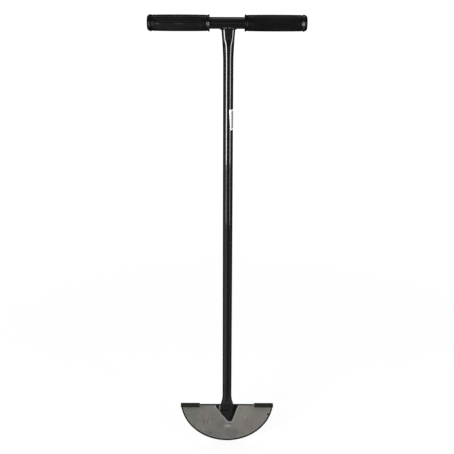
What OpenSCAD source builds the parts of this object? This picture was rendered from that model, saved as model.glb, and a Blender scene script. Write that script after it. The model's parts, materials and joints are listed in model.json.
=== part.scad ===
// Half moon edger: a bevelled half round steel blade with two turned foot treads, welded to
// the flattened end of a steel tube, with a T handle of steel tube and two fluted grips.
// Millimetres. +Z runs up the shaft, the front faces -Y, and the lowest point of the
// cutting edge lies under the shaft's axis at the origin's height.

/* [Blade] */
// Radius of the round cutting edge
blade_radius = 105; // [85:1:130]
// Height from the lowest point of the cutting edge to the straight top edge
blade_height = 99; // [85:1:104]
// Thickness of the steel sheet
blade_thickness = 2; // [1.2:0.1:3]
// Width of the ground bevel, measured inwards from the cutting edge
bevel_width = 2.6; // [1:0.2:8]
// Thickness left at the cutting edge
edge_thickness = 0.6; // [0.2:0.1:1]

/* [Foot treads] */
// Length of each tread along the top edge
tread_length = 43; // [25:1:60]
// Distance of a tread's outer end from the round cutting edge
tread_inset = 0.5; // [0.3:0.1:4]
// Depth from the back of the blade to the front of a tread
tread_depth = 18; // [9:0.5:24]
// Inside radius of the bend between blade and tread
tread_bend = 2; // [1:0.5:4]
// Height of a tread's top above the straight top edge
tread_rise = 4.5; // [1:0.5:8]
// Rounding of a tread's two front corners
tread_corner = 2.5; // [1:0.5:5]
// Width of the relief slit at the inner end of a tread
relief_width = 0.3; // [0.2:0.1:5]
// Depth of the relief slit below the straight top edge
relief_depth = 5; // [3:0.5:10]

/* [Shaft] */
// Outside diameter of the shaft tube
shaft_diameter = 20; // [16:0.5:22]
// Wall of the shaft tube
shaft_wall = 1.2; // [0.8:0.1:2]
// Width of the tube where it is squeezed to meet the cross tube
neck_width = 27; // [22:0.5:32]
// Depth of the tube where it is squeezed to meet the cross tube
neck_depth = 12.4; // [8:0.2:16]
// Length over which the neck changes from round to squeezed
neck_length = 62; // [30:1:100]
// Width of the pressed flat lower end
flat_width = 30; // [24:0.5:36]
// Length over which the lower end changes from round to flat
press_length = 26; // [15:1:60]

/* [Pointed end] */
// Drop of the left shoulder of the point below the blade's top edge
left_shoulder_drop = 18; // [8:1:28]
// Drop of the right shoulder of the point below the blade's top edge
right_shoulder_drop = 21; // [8:1:28]
// Drop of the trimmed tip below the blade's top edge
tip_drop = 43.5; // [36:0.5:60]
// Distance of the tip to the right of the shaft's axis
tip_offset = 5.8; // [-6:0.2:8]
// Width of the trimmed tip
tip_width = 3.5; // [2:0.5:8]
// Drop of the press mark across the flat front below the blade's top edge
press_mark_drop = 14; // [6:0.5:17]
// Depth that the flat front is set back below the press mark
press_mark_depth = 0.3; // [0.1:0.05:0.6]

/* [Handle] */
// Height of the cross tube's axis above the lowest point of the cutting edge
handle_height = 947; // [700:1:1200]
// Length of the handle over both grips
handle_width = 302; // [240:1:400]
// Distance of the handle's middle to the left of the shaft's axis
handle_shift = 2.4; // [-4:0.1:4]
// Bare length of the cross tube between the grips
bare_length = 66; // [50:1:120]
// Outside diameter of the cross tube
cross_diameter = 22; // [20:0.5:25]
// Wall of the cross tube
cross_wall = 1.5; // [0.8:0.1:2.5]

/* [Grips] */
// Diameter of a grip at the middle of its length
grip_middle_diameter = 31; // [28:0.5:36]
// Diameter of a grip beside its end rings
grip_neck_diameter = 30; // [28:0.5:34]
// Diameter of the raised ring at each end of a grip
grip_ring_diameter = 32; // [30:0.5:38]
// Width of a raised ring
grip_ring_width = 3; // [2:0.5:6]
// Thickness of the closed outer end
grip_end_thickness = 4; // [2:0.5:8]
// Rounding of the closed outer end
grip_end_round = 5; // [2:0.5:8]
// Number of flutes round a grip
flute_count = 14; // [8:1:18]
// Depth of a flute at the middle of the grip
flute_depth = 0.9; // [0.3:0.1:1.5]
// Radius of the flute's round bottom
flute_radius = 2.4; // [1.5:0.1:3]
// Plain length left between a flute and each end of the grip
flute_margin = 16; // [12:1:30]
// Turn of the right grip on its tube against the left one, as a share of the flutes' spacing
right_grip_turn_share = 0.5; // [0:0.05:1]

/* [Welds] */
// Reach of the handle weld at the front and the back of the neck
handle_weld_reach = 5; // [3:0.2:6]
// Reach of the handle weld at the sides of the neck
handle_weld_side_reach = 2; // [2:0.2:4]
// Reach of the weld along the left edge of the pointed end
left_weld_reach = 1.8; // [1.2:0.1:3]
// Reach of the weld along the right edge of the pointed end
right_weld_reach = 3.8; // [1.2:0.1:4]
// Share of the left shoulder's drop that stays free of weld
left_weld_free_share = 0.85; // [0.1:0.05:0.95]
// Share of the right shoulder's drop that stays free of weld
right_weld_free_share = 0.15; // [0.1:0.05:0.95]
// Spacing of the ripples along a weld
weld_ripple = 4; // [2.5:0.5:8]

/* [Label] */
// Drop of the middle of the blank paper label below the cross tube's axis
label_drop = 185; // [120:1:400]
// Length of the label along the shaft
label_length = 41; // [20:1:80]
// Width of the label round the shaft
label_width = 27; // [12:1:36]
// Thickness of the label
label_thickness = 0.2; // [0.1:0.05:0.4]
// Turn of the label's left edge from the front, in degrees
label_turn = 18; // [0:1:60]
// Sideways lean of the label from its lower to its upper edge
label_skew = 2.4; // [-4:0.2:4]

/* [Hidden] */
$fn = 96;

// Overrun of every cut past the surface that it leaves
overrun = 1;
// Set-back of a squeezed tube's surface where it meets the round tube
seam_step = 0.02;
// Height of the flat end's upper crease above the blade's top edge
crease_gap = 1;

// Points round a squeezed section, and sections along each squeezed length
ring_sides = 40;
neck_rings = 18;
press_rings = 9;
// How late the neck and the lower end spread: the power of the way along
neck_curve = 1.6;
press_curve = 2;
// Shares of the neck's length between which it is squeezed, and share of its squeeze that lies flat
squeeze_start_share = 0.42;
squeeze_end_share = 0.75;
neck_flat_share = 0.6;
// Half depth of the slit in which the hollow ends, as a share of the wall
slit_share = 0.5;

// Points of a grip's section: along its barrel, round its closed end and over a raised ring
barrel_steps = 10;
end_steps = 6;
ring_round_shares = [[0, 0.35], [0.2, 0.8], [0.5, 1], [0.8, 0.8], [1, 0]];

// Points round a weld bead, its rings in each ripple and the shares that shape it
bead_sides = 10;
rings_per_ripple = 4;
ripple_share = 0.13;
bead_end_share = 0.35;
handle_weld_shift_share = 0.32;

// Layer of glue between shaft and label
label_gap = 0.05;
// Steps of the label round the shaft
label_steps = 24;
// Facets of the round that trims the thin label to the shaft
label_trim_sides = 360;

shaft_radius = shaft_diameter / 2;
cross_radius = cross_diameter / 2;
plate_front = shaft_wall;
plate_back = plate_front + blade_thickness;
flat_level = blade_height + crease_gap;
press_level = flat_level + press_length;
neck_top = handle_height - cross_radius;
neck_level = neck_top - neck_length;

// Sizes of the turned treads
bend_outside = tread_bend + blade_thickness;
bend_level = blade_height + tread_rise - bend_outside;
tread_outer = sqrt(pow(blade_radius, 2) - pow(blade_radius - bend_level, 2)) - tread_inset;
tread_inner = tread_outer - tread_length;

// Sizes of the grips and of the tube inside them
cross_length = handle_width - 2 * grip_end_thickness;
grip_inner = bare_length / 2;
grip_length = handle_width / 2 - grip_inner;
grip_bore = grip_length - grip_end_thickness;

// Sizes of the label
label_height = handle_height - label_drop;
label_angle = label_width / shaft_radius * 180 / PI;
label_skew_angle = label_skew / shaft_radius * 180 / PI;

// One point of a squeezed section: two half ovals joined by flats, half rounds at a share of one
function squeezed_point(angle, half_width, half_depth, flat_share) =
    let (flat_half = flat_share * (half_width - half_depth))
    [sign(cos(angle)) * flat_half + (half_width - flat_half) * cos(angle), half_depth * sin(angle)];

// One closed ring of such points at a height
function squeezed_ring(level, half_width, half_depth, flat_share) =
    [for (i = [0 : ring_sides - 1])
        let (p = squeezed_point((i + 0.5) * 360 / ring_sides, half_width, half_depth, flat_share))
        [p.x, p.y, level]];

// Rises smoothly from nought to one between two shares of a way
function eased(way, start, end) =
    let (part = max(0, min(1, (way - start) / (end - start))))
    part * part * (3 - 2 * part);

// Rings of the neck, set in from the tube's surface by the given amount, continued into the cross tube
function neck_sections(inset) =
    [for (i = [0 : neck_rings + 1])
        let (way = min(i / neck_rings, 1),
             spread = pow(way, neck_curve),
             squeeze = eased(way, squeeze_start_share, squeeze_end_share),
             half_width = shaft_radius + (neck_width / 2 - shaft_radius) * spread,
             half_depth = shaft_radius + (neck_depth / 2 - shaft_radius) * squeeze)
        squeezed_ring(i > neck_rings ? handle_height : neck_level + neck_length * way,
                      half_width - inset, half_depth - inset, neck_flat_share * squeeze)];

// Way along the pressed length at which the hollow has closed to its last slit
press_last_way = pow(1 - slit_share * shaft_wall / (shaft_radius - shaft_wall), 1 / press_curve);

// Rings of the pressed lower end from the flat crease up to the round tube, as far down as the given way
function press_sections(inset, last_way) =
    [for (i = [press_rings : -1 : 0])
        let (way = last_way * i / press_rings,
             spread = pow(way, press_curve),
             half_width = shaft_radius + (flat_width / 2 - shaft_radius) * spread,
             half_depth = shaft_radius + (shaft_wall - shaft_radius) * spread)
        squeezed_ring(press_level - press_length * way, half_width - inset, half_depth - inset, 1)];

// Solid skin over a row of rings, capped at both ends or closed into a loop
module loft(rings, closed = false) {
    sides = len(rings[0]);
    count = len(rings);
    last = count - 1;
    walls = [for (k = [0 : closed ? last : last - 1], i = [0 : sides - 1])
        let (near = k * sides, far = (k + 1) % count * sides, j = (i + 1) % sides)
        each [[near + i, far + i, far + j], [near + i, far + j, near + j]]];
    first_cap = [for (i = [0 : sides - 1]) i];
    last_cap = [for (i = [sides - 1 : -1 : 0]) last * sides + i];
    polyhedron([for (ring = rings) each ring], closed ? walls : concat(walls, [first_cap, last_cap]));
}

// Lies a shape drawn in the plane of the blade across the given depth range
module across(front, back) {
    translate([0, back, 0])
        rotate([90, 0, 0])
            linear_extrude(back - front)
                children();
}

// Round of the cross tube's outside, long enough to cut what meets it
module cross_cutter(reach) {
    translate([-reach, 0, handle_height])
        rotate([0, 90, 0])
            cylinder(d = cross_diameter, h = 2 * reach);
}

// Straight round tube between two heights
module round_tube(low, high) {
    translate([0, 0, low])
        difference() {
            cylinder(d = shaft_diameter, h = high - low);
            translate([0, 0, -overrun])
                cylinder(d = shaft_diameter - 2 * shaft_wall, h = high - low + 2 * overrun);
        }
}

// Outline of the trimmed point, drawn in the plane of the blade
module point_outline() {
    tip = blade_height - tip_drop;
    polygon([[-flat_width, press_level + overrun],
             [-flat_width, blade_height - left_shoulder_drop],
             [-flat_width / 2, blade_height - left_shoulder_drop],
             [tip_offset - tip_width / 2, tip],
             [tip_offset + tip_width / 2, tip],
             [flat_width / 2, blade_height - right_shoulder_drop],
             [flat_width, blade_height - right_shoulder_drop],
             [flat_width, press_level + overrun]]);
}

// Outside of the pressed, pointed lower end, without its hollow
module pointed_end() {
    tip = blade_height - tip_drop;
    flat_ring = squeezed_ring(tip - overrun, flat_width / 2 - seam_step, shaft_wall, 1);
    difference() {
        intersection() {
            loft(concat([flat_ring], press_sections(seam_step, 1)));
            across(-shaft_diameter, shaft_diameter)
                point_outline();
        }
        translate([-flat_width, press_mark_depth - shaft_wall - shaft_diameter, tip - 2 * overrun])
            cube([2 * flat_width, shaft_diameter, tip_drop - press_mark_drop + 2 * overrun]);
    }
}

// Half round sheet with its bevel, turned treads and relief slits
module blade() {
    color("dimgray") {
        difference() {
            intersection() {
                translate([0, 0, blade_radius])
                    rotate([90, 0, 0])
                        rotate_extrude()
                            polygon([[0, -plate_back],
                                     [blade_radius, -plate_back],
                                     [blade_radius, edge_thickness - plate_back],
                                     [blade_radius - bevel_width, -plate_front],
                                     [0, -plate_front]]);
                across(plate_front - overrun, plate_back + overrun)
                    sheet_outline();
            }
            for (side = [-1, 1])
                across(plate_front - overrun, plate_back + overrun)
                    relief_outline(side);
        }
        tread();
        mirror([1, 0, 0])
            tread();
    }
}

// Straight upper edges of the sheet: full height between the treads, up to the bend under each of them.
// The three parts overlap within the relief slits, which are cut out afterwards.
module sheet_outline() {
    middle_half = tread_inner - relief_width / 4;
    side_start = tread_inner - relief_width * 3 / 4;
    translate([-blade_radius - overrun, -overrun])
        square([2 * (blade_radius + overrun), min(bend_level, blade_height - relief_depth) + overrun]);
    translate([-middle_half, 0])
        square([2 * middle_half, blade_height]);
    for (side = [0, 1])
        mirror([side, 0])
            translate([side_start, 0])
                square([blade_radius + overrun - side_start, bend_level]);
}

// Round ended slit that frees the inner end of a tread
module relief_outline(side) {
    middle = side * (tread_inner - relief_width / 2);
    bottom = blade_height - relief_depth + relief_width / 2;
    translate([middle, bottom])
        circle(d = relief_width);
    translate([middle - relief_width / 2, bottom])
        square([relief_width, relief_depth + tread_rise + overrun]);
}

// Right tread: the sheet bent forward through a quarter turn, with rounded front corners
module tread() {
    lip = tread_depth - bend_outside;
    intersection() {
        translate([tread_inner, plate_back - bend_outside, bend_level])
            rotate([90, 0, 90])
                linear_extrude(tread_length) {
                    intersection() {
                        difference() {
                            circle(r = bend_outside);
                            circle(r = tread_bend);
                        }
                        square(bend_outside);
                    }
                    translate([-lip, tread_bend])
                        square([lip, blade_thickness]);
                }
        translate([tread_inner, plate_back - tread_depth, bend_level - overrun])
            linear_extrude(bend_outside + 2 * overrun)
                tread_plan();
    }
}

// Plan of a tread with its two front corners rounded
module tread_plan() {
    translate([tread_corner, tread_corner])
        circle(r = tread_corner);
    translate([tread_length - tread_corner, tread_corner])
        circle(r = tread_corner);
    translate([tread_corner, 0])
        square([tread_length - 2 * tread_corner, tread_depth]);
    translate([0, tread_corner])
        square([tread_length, tread_depth - tread_corner]);
}

// Steel tube, squeezed oval under the handle and pressed flat to a point on the blade
module shaft() {
    color("black") {
        round_tube(press_level, neck_level);
        difference() {
            loft(neck_sections(seam_step));
            loft(neck_sections(shaft_wall - seam_step));
            cross_cutter(neck_width);
        }
        difference() {
            pointed_end();
            loft(press_sections(shaft_wall - seam_step, press_last_way));
        }
    }
}

// Straight steel tube of the T handle
module cross_tube() {
    color("black")
        translate([-cross_length / 2 - handle_shift, 0, handle_height])
            rotate([0, 90, 0])
                difference() {
                    cylinder(d = cross_diameter, h = cross_length);
                    translate([0, 0, -overrun])
                        cylinder(d = cross_diameter - 2 * cross_wall, h = cross_length + 2 * overrun);
                }
}

// Points of a raised ring that starts at the given distance along the grip
function ring_points(start) =
    [for (share = ring_round_shares)
        [start + share.x * grip_ring_width,
         (grip_neck_diameter + share.y * (grip_ring_diameter - grip_neck_diameter)) / 2]];

// Points of the slightly barrelled body between the two rings
function barrel_points(start, end) =
    [for (i = [1 : barrel_steps - 1])
        let (way = i / barrel_steps, swell = 1 - pow(2 * way - 1, 2))
        [start + way * (end - start),
         (grip_neck_diameter + (grip_middle_diameter - grip_neck_diameter) * swell) / 2]];

// Points of the rounded closed end
function end_points() =
    [for (i = [1 : end_steps])
        let (angle = 90 * i / end_steps)
        [grip_length - grip_end_round * (1 - sin(angle)),
         grip_neck_diameter / 2 - grip_end_round * (1 - cos(angle))]];

// Half of a grip's section, as distance along the grip and distance from its axis
function grip_section() =
    let (outer_ring = grip_length - grip_end_round - grip_ring_width)
    concat([[0, cross_radius]],
           ring_points(0),
           barrel_points(grip_ring_width, outer_ring),
           ring_points(outer_ring),
           end_points(),
           [[grip_length, 0], [grip_bore, 0], [grip_bore, cross_radius]]);

// Moulded grip that closes over the end of the cross tube, with flutes round its body
module grip(turn_share) {
    translate([grip_inner, 0, handle_height])
        rotate([0, 90, 0])
            difference() {
                rotate_extrude()
                    polygon([for (p = grip_section()) [p.y, p.x]]);
                for (i = [0 : flute_count - 1])
                    rotate((i + turn_share) * 360 / flute_count)
                        flute();
            }
}

// Round bottomed groove along a grip, with round ends
module flute() {
    low = flute_margin + flute_radius;
    high = grip_length - flute_margin - flute_radius;
    translate([grip_middle_diameter / 2 - flute_depth + flute_radius, 0, 0]) {
        translate([0, 0, low])
            cylinder(r = flute_radius, h = high - low);
        for (level = [low, high])
            translate([0, 0, level])
                sphere(r = flute_radius);
    }
}

module left_grip() {
    color("black")
        translate([-handle_shift, 0, 0])
            mirror([1, 0, 0])
                grip(0);
}

module right_grip() {
    color("black")
        translate([-handle_shift, 0, 0])
            grip(right_grip_turn_share);
}

// Ring of points square to a path, wound so that first crossed with second gives the path's direction
function bead_ring(centre, first, second, reach) =
    [for (i = [0 : bead_sides - 1])
        let (angle = i * 360 / bead_sides)
        centre + reach * (cos(angle) * first + sin(angle) * second)];

// Share of the full reach at one ring of a rippled bead
function ripple_size(ring) = 1 - ripple_share + ripple_share * abs(sin(180 * ring / rings_per_ripple));

// Point of the joint between neck and cross tube at an angle round the neck
function joint_point(angle) =
    let (out = neck_depth / 2 * sin(angle))
    [neck_width / 2 * cos(angle), out, handle_height - sqrt(pow(cross_radius, 2) - pow(out, 2))];

// Unit vector along a vector
function unit(v) = v / norm(v);

// Rippled bead round the neck, fuller at the front and back than at the sides
function handle_weld_rings() =
    let (ripples = round(PI * (neck_width + neck_depth) / 2 / weld_ripple),
         count = ripples * rings_per_ripple)
    [for (k = [0 : count - 1])
        let (angle = 360 * k / count,
             out = unit([cos(angle) / neck_width, sin(angle) / neck_depth, 0]),
             along = unit(joint_point(angle + 1) - joint_point(angle - 1)),
             fullness = pow(sin(angle), 2),
             reach = handle_weld_side_reach + (handle_weld_reach - handle_weld_side_reach) * fullness,
             centre = joint_point(angle) + handle_weld_shift_share * reach * (out + [0, 0, 1]))
        bead_ring(centre, out, cross(along, out), reach * ripple_size(k))];

// Weld that joins the squeezed neck to the cross tube all the way round
module handle_weld() {
    color("black")
        difference() {
            loft(handle_weld_rings(), closed = true);
            cross_cutter(neck_width);
            loft(neck_sections(seam_step));
        }
}

// Corners of the edge that a blade weld follows, from its start on the flat end's side to the tip
function edge_corners(side, shoulder_drop, free_share) =
    [[side * flat_width / 2, plate_front, blade_height - free_share * shoulder_drop],
     [side * flat_width / 2, plate_front, blade_height - shoulder_drop],
     [tip_offset + side * tip_width / 2, plate_front, blade_height - tip_drop]];

// Point at a distance along such an edge
function edge_point(corners, distance) =
    let (first = norm(corners[1] - corners[0]),
         second = norm(corners[2] - corners[1]))
    distance < first
        ? corners[0] + (corners[1] - corners[0]) * distance / first
        : corners[1] + (corners[2] - corners[1]) * (distance - first) / second;

// Rippled bead along such an edge, with rounded ends
function blade_weld_rings(corners, reach) =
    let (length = norm(corners[1] - corners[0]) + norm(corners[2] - corners[1]),
         count = round(length / weld_ripple) * rings_per_ripple,
         front = [0, -1, 0])
    [for (k = [0 : count])
        let (distance = length * k / count,
             along = unit(edge_point(corners, distance + reach) - edge_point(corners, distance - reach)),
             end_gap = min(distance, length - distance),
             rounding = max(bead_end_share, sqrt(1 - pow(1 - min(end_gap / reach, 1), 2))),
             size = reach * rounding * ripple_size(k))
        bead_ring(edge_point(corners, distance), cross(front, along), front, size)];

// Weld between one edge of the pointed end and the front of the blade, stopped at the middle of the tip
module blade_weld(side, shoulder_drop, free_share, reach) {
    far_side = side < 0 ? tip_offset : tip_offset - 2 * flat_width;
    color("black")
        difference() {
            loft(blade_weld_rings(edge_corners(side, shoulder_drop, free_share), reach));
            across(plate_front, plate_front + reach + overrun)
                square(2 * blade_height, center = true);
            translate([far_side, -flat_width, 0])
                cube([2 * flat_width, 2 * flat_width, blade_height - tip_drop + reach]);
            pointed_end();
        }
}

module left_blade_weld() {
    blade_weld(-1, left_shoulder_drop, left_weld_free_share, left_weld_reach);
}

module right_blade_weld() {
    blade_weld(1, right_shoulder_drop, right_weld_free_share, right_weld_reach);
}

// Section of the label at an angle round the shaft from the front, leaning with its skew
function label_ring(angle) =
    [for (corner = [[-1, -1], [-1, 1], [1, 1], [1, -1]])
        let (radius = shaft_radius + label_gap + corner.x * label_thickness,
             turn = angle - corner.y * label_skew_angle / 2)
        [radius * sin(turn), -radius * cos(turn), label_height + corner.y * label_length / 2]];

// Blank paper label stuck round the shaft's right side
module paper_label() {
    color("white")
        difference() {
            loft([for (i = [0 : label_steps]) label_ring(label_turn + label_angle * i / label_steps)]);
            translate([0, 0, label_height - label_length])
                cylinder(r = shaft_radius + label_gap, h = 2 * label_length, $fn = label_trim_sides);
        }
}

blade();
shaft();
cross_tube();
left_grip();
right_grip();
handle_weld();
left_blade_weld();
right_blade_weld();
paper_label();
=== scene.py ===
# %% [markdown]
# # Dressing a half moon edger
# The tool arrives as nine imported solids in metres: +Z runs up the shaft and the front faces -Y. This
# lesson gives each solid the finish of the real one. Some solids are built of small flat facets, which
# would show as bands in gloss paint. Those are replaced by smooth surfaces that numpy works out from
# the same sizes.

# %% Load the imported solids
import functools
import json
import math

import bmesh
import bpy
import numpy as np
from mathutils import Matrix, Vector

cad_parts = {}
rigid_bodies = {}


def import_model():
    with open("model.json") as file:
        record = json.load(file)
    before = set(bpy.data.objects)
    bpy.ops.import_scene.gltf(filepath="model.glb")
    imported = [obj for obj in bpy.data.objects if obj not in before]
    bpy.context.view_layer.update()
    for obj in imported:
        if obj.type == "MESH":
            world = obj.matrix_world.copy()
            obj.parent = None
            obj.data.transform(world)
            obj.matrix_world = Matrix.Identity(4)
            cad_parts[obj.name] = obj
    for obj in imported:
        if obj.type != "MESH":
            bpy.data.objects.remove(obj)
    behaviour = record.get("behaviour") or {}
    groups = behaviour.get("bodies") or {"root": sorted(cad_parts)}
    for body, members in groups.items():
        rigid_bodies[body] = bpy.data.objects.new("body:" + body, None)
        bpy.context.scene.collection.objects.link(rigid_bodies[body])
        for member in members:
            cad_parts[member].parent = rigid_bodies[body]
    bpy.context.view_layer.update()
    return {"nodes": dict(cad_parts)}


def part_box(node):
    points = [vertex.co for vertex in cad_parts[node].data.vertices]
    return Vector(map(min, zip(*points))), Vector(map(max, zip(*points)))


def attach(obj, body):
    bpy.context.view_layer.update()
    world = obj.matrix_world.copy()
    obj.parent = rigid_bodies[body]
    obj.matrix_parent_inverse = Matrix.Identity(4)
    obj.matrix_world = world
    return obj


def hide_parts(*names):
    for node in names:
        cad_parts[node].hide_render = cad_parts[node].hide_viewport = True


for leftover in list(bpy.data.objects):
    bpy.data.objects.remove(leftover)

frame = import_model()
scene = bpy.context.scene
scene.view_settings.view_transform = "Standard"
print("solids:", sorted(frame["nodes"]))

# %% [markdown]
# ## The camera
# The photograph was taken from in front of the tool and a little above the handle, so the shaft narrows
# downwards and the blade is seen from about 34 degrees above. A camera could be placed by eye. Here its
# focal length, height and tilt come from a fit to the shaft's taper, the handle's ends and the blade's
# arc.

# %% Camera
IMAGE_PIXELS = 454
FOCAL_PIXELS = 800
SENSOR_WIDTH = 36
CAMERA_PLACE = (-0.0033, -1.546, 1.1407)
CAMERA_TILT = math.radians(21.45)
CAMERA_ROLL = math.radians(-0.19)

camera_data = bpy.data.cameras.new("photo_camera")
camera_data.sensor_width = SENSOR_WIDTH
camera_data.lens = SENSOR_WIDTH * FOCAL_PIXELS / IMAGE_PIXELS
camera = bpy.data.objects.new("photo_camera", camera_data)
camera.location = CAMERA_PLACE
camera.rotation_euler = (math.pi / 2 - CAMERA_TILT, CAMERA_ROLL, 0)
scene.collection.objects.link(camera)
scene.camera = camera
print("lens in millimetres:", round(camera_data.lens, 2))

# %% [markdown]
# ## Arithmetic for shader nodes
# A material is a graph of nodes, and long graphs are hard to read as code. A small wrapper round a
# socket lets a mask be written as `1 - paint * wear`: each operator adds one Math node. Every other
# node comes from one method, which sets the node's own options first and then fills its sockets with
# values or links.


# %% Sockets that can be added and multiplied
class Wire:
    """An output socket: an operator between wires or numbers adds one Math node and gives its result."""

    def __init__(self, bench, socket):
        self.bench = bench
        self.socket = socket

    def maths(self, operation, first, second=0.0):
        """Adds one Math node."""
        return self.bench.node("ShaderNodeMath", {"operation": operation}, {0: first, 1: second})

    def __add__(self, other):
        return self.maths("ADD", self, other)

    def __sub__(self, other):
        return self.maths("SUBTRACT", self, other)

    def __rsub__(self, other):
        return self.maths("SUBTRACT", other, self)

    def __mul__(self, other):
        return self.maths("MULTIPLY", self, other)

    def __pow__(self, other):
        return self.maths("POWER", self, other)

    def __abs__(self):
        return self.maths("ABSOLUTE", self)

    __radd__ = __add__
    __rmul__ = __mul__

    def either(self, other):
        """The larger of two masks."""
        return self.maths("MAXIMUM", self, other)


print("operators of a wire: + - * ** abs either")


# %% Nodes from one method
class Bench:
    """A node tree under construction."""

    def __init__(self, tree):
        self.tree = tree

    def fill(self, socket, value):
        """Links a wire to a socket, or sets the socket's own value."""
        if isinstance(value, Wire):
            self.tree.links.new(value.socket, socket)
        else:
            socket.default_value = value

    def node(self, kind, settings=None, sockets=None, output=0):
        """Adds a node of a type, sets its options, fills its sockets and returns one output."""
        made = self.tree.nodes.new(kind)
        for name, value in (settings or {}).items():
            setattr(made, name, value)
        for name, value in (sockets or {}).items():
            self.fill(made.inputs[name], value)
        return Wire(self, made.outputs[output])

    def parts(self, vector):
        """The three parts of a vector."""
        split = self.node("ShaderNodeSeparateXYZ", sockets={0: vector}).socket.node
        return [Wire(self, split.outputs[axis]) for axis in "XYZ"]

    def rise(self, value, start, end):
        """Nought below start, one above end, and a smooth step between them."""
        settings = {"interpolation_type": "SMOOTHSTEP"}
        return self.node("ShaderNodeMapRange", settings, {0: value, 1: start, 2: end})

    def fall(self, value, start, end):
        """One below start, nought above end, and a smooth step between them."""
        return 1 - self.rise(value, start, end)


print("a bench adds nodes, splits vectors and makes smooth steps")

# %% Layers of a finish
MM = 0.001


class Finish(Bench):
    """The node tree of a material, whose layers read Object coordinates."""

    def placed(self, shift, scale):
        """Object coordinates of the shaded point, scaled and then shifted."""
        place = self.node("ShaderNodeTexCoord", output="Object")
        return self.node("ShaderNodeMapping", sockets={"Vector": place, "Location": shift, "Scale": scale})

    def axes(self):
        """The three Object coordinates of the shaded point, in metres."""
        return self.parts(self.node("ShaderNodeTexCoord", output="Object"))

    def millimetres(self):
        """The three Object coordinates of the shaded point, in millimetres."""
        return [axis * (1 / MM) for axis in self.axes()]

    def grain(self, scale, detail, stretch=(1, 1, 1), shift=(0, 0, 0)):
        """Noise on Object coordinates, whose features are about one over scale metres wide."""
        sockets = {"Vector": self.placed(shift, stretch), "Scale": scale, "Detail": detail}
        return self.node("ShaderNodeTexNoise", sockets=sockets)

    def spots(self, limits, **noise):
        """Mask of a noise's peaks: nought below the lower limit and one above the upper one."""
        return self.rise(self.grain(**noise), *limits)

    def tint(self, mask, first, second):
        """The first colour where the mask is nought and the second where it is one."""
        sockets = {0: mask, 6: first, 7: second}
        return self.node("ShaderNodeMix", {"data_type": "RGBA"}, sockets, output=2)

    def bump(self, strength, distance, height):
        """Tilts the surface's direction as if it stood proud by the height's share of a distance."""
        sockets = {"Strength": strength, "Distance": distance, "Height": height}
        return self.node("ShaderNodeBump", sockets=sockets)

    def dress(self, sockets):
        """Fills sockets of the material's shader."""
        for name, value in sockets.items():
            self.fill(self.tree.nodes["Principled BSDF"].inputs[name], value)


def new_finish(name):
    """A new material and its bench."""
    material = bpy.data.materials.new(name)
    material.use_nodes = True
    return material, Finish(material.node_tree)


print("a finish adds noise, spots, tints and bumps")

# %% [markdown]
# ## The white room
# The photograph's background is plain white, yet the black paint on the tool mirrors a dark room: a
# pool of light on the floor to the left, a weaker one to the right, a spot round the foot and a soft
# band along the horizon in front. A brightly lit white floor would throw light at the tool and grey
# that paint. So the white is shown to rays that come from the camera, and mirror rays see the dark
# room, with a narrow glow far behind for views of the back. Under both lies a paper that takes a share
# of the lamps, which keeps a soft shadow behind the cutting edge.

# %% Rays and the mirrored room
ROOM_HORIZON, HORIZON_SIDES, HORIZON_WAY = 0.14, 0.4, (0.06, 0.26)
FRONT_WAY, BACK_WAY, BACK_GLOW = (-0.35, 0.25), (0.95, 0.99), 0.6


def ray_kinds(bench):
    """Masks of the rays that come from the camera or through glass, and of those off a mirror surface."""
    camera_ray = bench.node("ShaderNodeLightPath", output="Is Camera Ray")
    through = bench.node("ShaderNodeLightPath", output="Is Transmission Ray")
    mirrored = bench.node("ShaderNodeLightPath", output="Is Glossy Ray")
    return camera_ray.either(through), mirrored


def front_horizon(bench, sideways):
    """Brightness of the horizon by direction: full in front of the tool and weaker to both sides."""
    middle = bench.fall(abs(sideways), *HORIZON_WAY)
    return (HORIZON_SIDES + middle * (1 - HORIZON_SIDES)) * ROOM_HORIZON


print("brightness of the horizon:", ROOM_HORIZON, "and of the glow behind:", BACK_GLOW)


# %% Floor
def grey(level):
    """A colour of three equal parts."""
    return (level, level, level, 1.0)


FLOOR_HALF = 12.0
FLOOR_NEAR, FLOOR_FAR, FLOOR_REACH = 0.82, 0.95, (0.4, 3.0)
FLOOR_PAPER_SEEN, FLOOR_PAPER = grey(0.15), grey(0.035)
POOL_LEFT, LEFT_REACH, LEFT_WAY = 0.27, (-0.3, 0.05), (-0.35, 0.0)
POOL_RIGHT, RIGHT_WAY = 0.14, (0.6, 0.95)
POOL_FRONT, FRONT_REACH = 0.03, (1.2, 3.5)
POOL_FOOT, FOOT_REACH = 0.09, (0.12, 0.24)
HORIZON_REACH, BACK_REACH = (5.6, 8.0), (1.6, 2.8)
ABOVE_NOUGHT = 0.0001

corners = np.array([(-1, -1, 0), (1, -1, 0), (1, 1, 0), (-1, 1, 0)]) * FLOOR_HALF
floor_mesh = bpy.data.meshes.new("floor")
floor_mesh.from_pydata(corners.tolist(), [], [(0, 1, 2, 3)])
floor = bpy.data.objects.new("floor", floor_mesh)
scene.collection.objects.link(floor)
print("floor side in metres:", 2 * FLOOR_HALF)


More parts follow.
